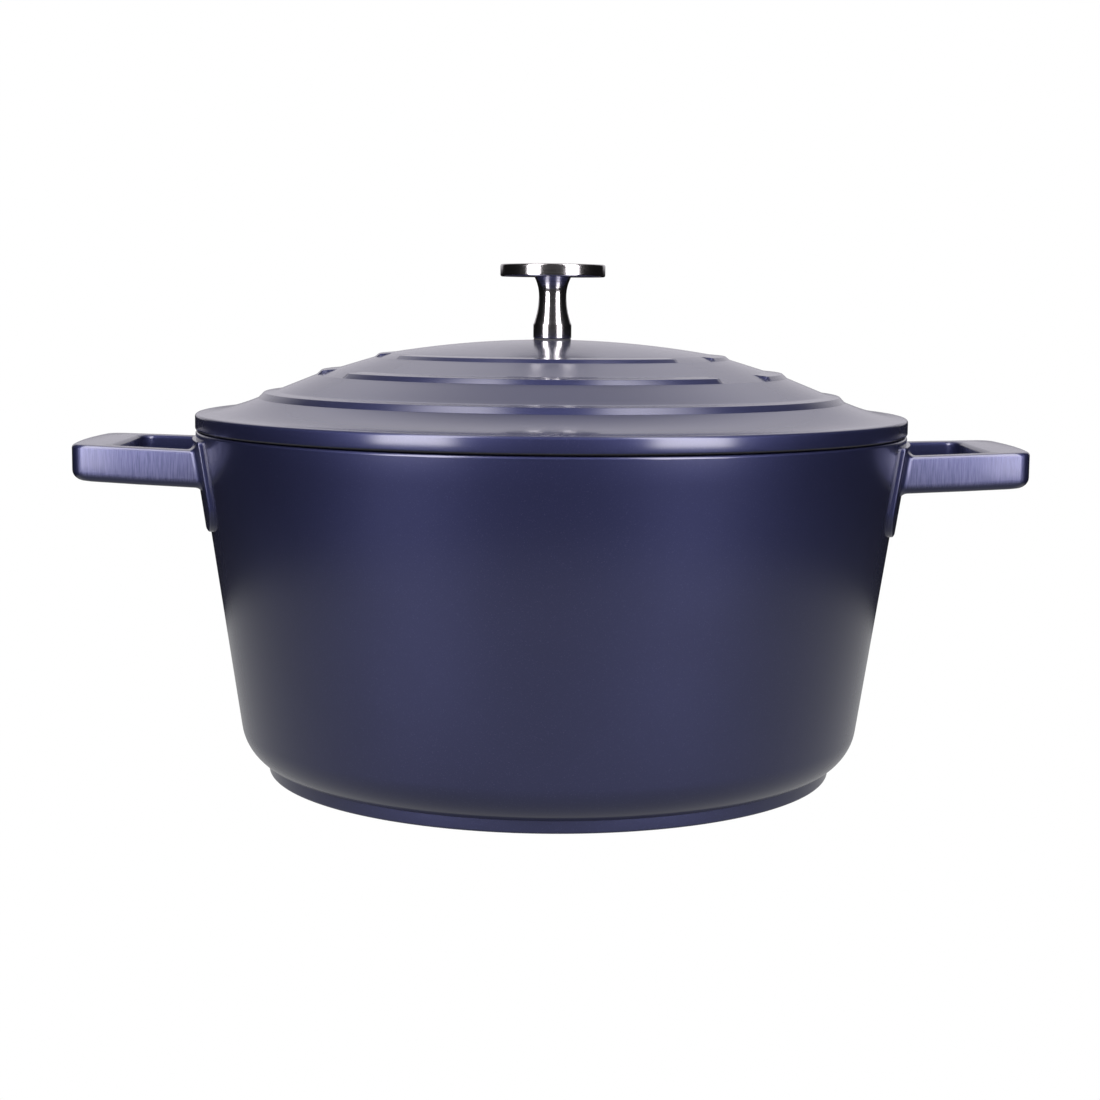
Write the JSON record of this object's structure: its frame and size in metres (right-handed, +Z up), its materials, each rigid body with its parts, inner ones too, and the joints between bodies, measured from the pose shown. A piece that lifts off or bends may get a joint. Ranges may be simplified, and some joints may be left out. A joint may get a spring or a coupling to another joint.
{
  "type": "dutch oven with lid",
  "caption": "Round cast cooking pot with tapered wall, cast-in loop handles, foot ring and induction base, and a stepped domed lid with a turned steel knob.",
  "frame": {"origin": "middle of the pot's underside, on the surface that it stands on", "axes": "+Z up along the pot's axis, +X along the line of the two handles, +Y towards the pot's back"},
  "size_m": [0.3278, 0.247, 0.1772],
  "materials": {
    "navy_paint": "satin metallic navy paint on cast aluminium, black non-stick coating inside",
    "plate_steel": "brushed, pressed into the base",
    "knob_steel": "turned, satin polish",
    "gasket_rubber": "matt silicone",
    "fixing_steel": "plain stainless fasteners"
  },
  "bodies": {
    "pot": {"pot_body": "navy_paint", "induction_plate": "plate_steel"},
    "lid": {"lid_shell": "navy_paint", "knob_disc": "knob_steel", "knob_stem": "knob_steel", "knob_gasket": "gasket_rubber", "flat_washer": "fixing_steel", "lock_washer": "fixing_steel", "knob_screw": "fixing_steel"}
  },
  "joints": [
    {"name": "lid_lift", "type": "slide", "parent": "pot", "child": "lid", "axis": [0, 0, 1], "range_m": [0, 0.16]}
  ]
}
